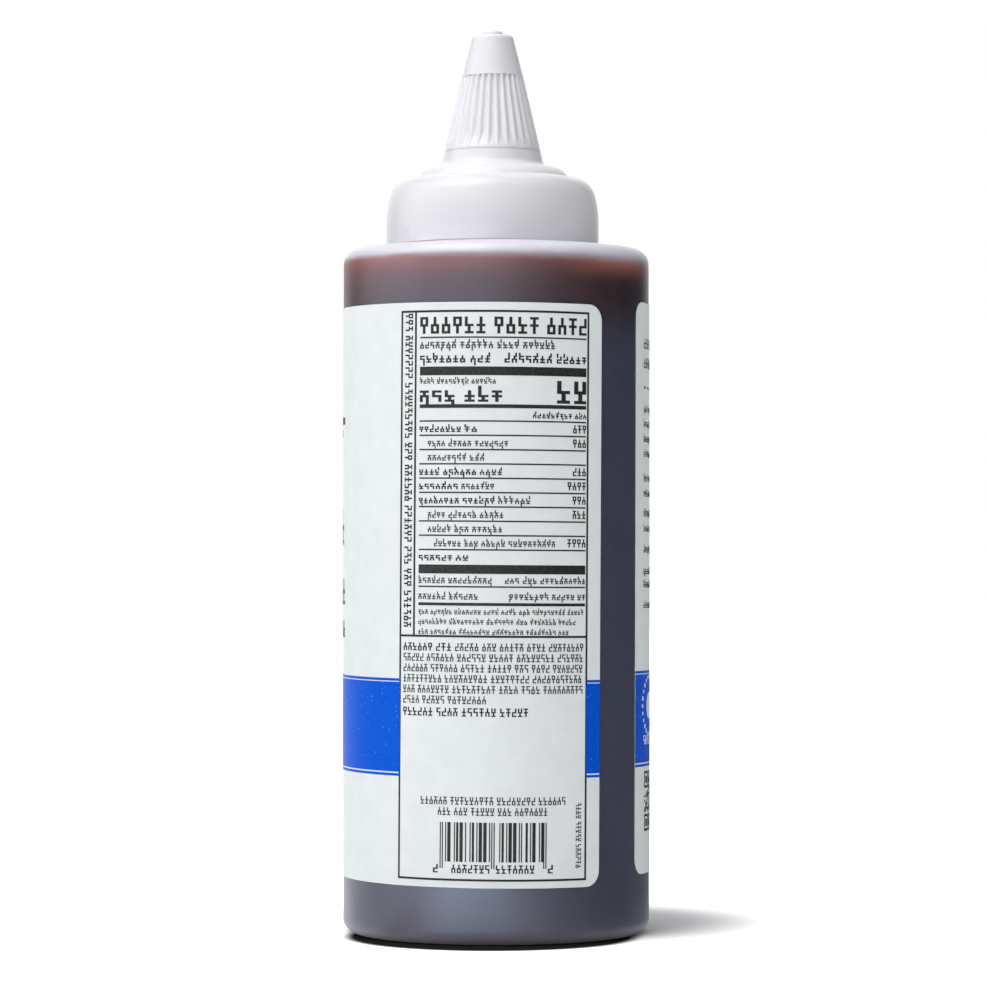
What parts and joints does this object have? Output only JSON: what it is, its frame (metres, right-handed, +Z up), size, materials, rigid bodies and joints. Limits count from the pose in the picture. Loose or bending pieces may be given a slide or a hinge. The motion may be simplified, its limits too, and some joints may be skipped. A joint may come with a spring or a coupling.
{
  "type": "barbecue sauce bottle",
  "caption": "Squeeze bottle of dark barbecue sauce: a translucent cylinder with a wrapped film label and a white screw cap with a fluted twist tip.",
  "frame": {"origin": "centre of the base, on the plane that the bottle stands on", "axes": "+Z up along the bottle, -Y towards the label's facts panel, +X towards the bare strip between the label's ends"},
  "size_m": [0.0602, 0.0602, 0.177],
  "materials": {
    "bottle_plastic": "translucent natural squeeze plastic, satin",
    "sauce": "thick dark red-brown sauce, wet",
    "label_film": "white printed film, satin",
    "cap_plastic": "white moulded plastic, soft gloss"
  },
  "bodies": {
    "root": {"bottle": "bottle_plastic", "sauce": "sauce", "label": "label_film", "cap_base": "cap_plastic", "twist_tip": "cap_plastic"}
  },
  "joints": []
}
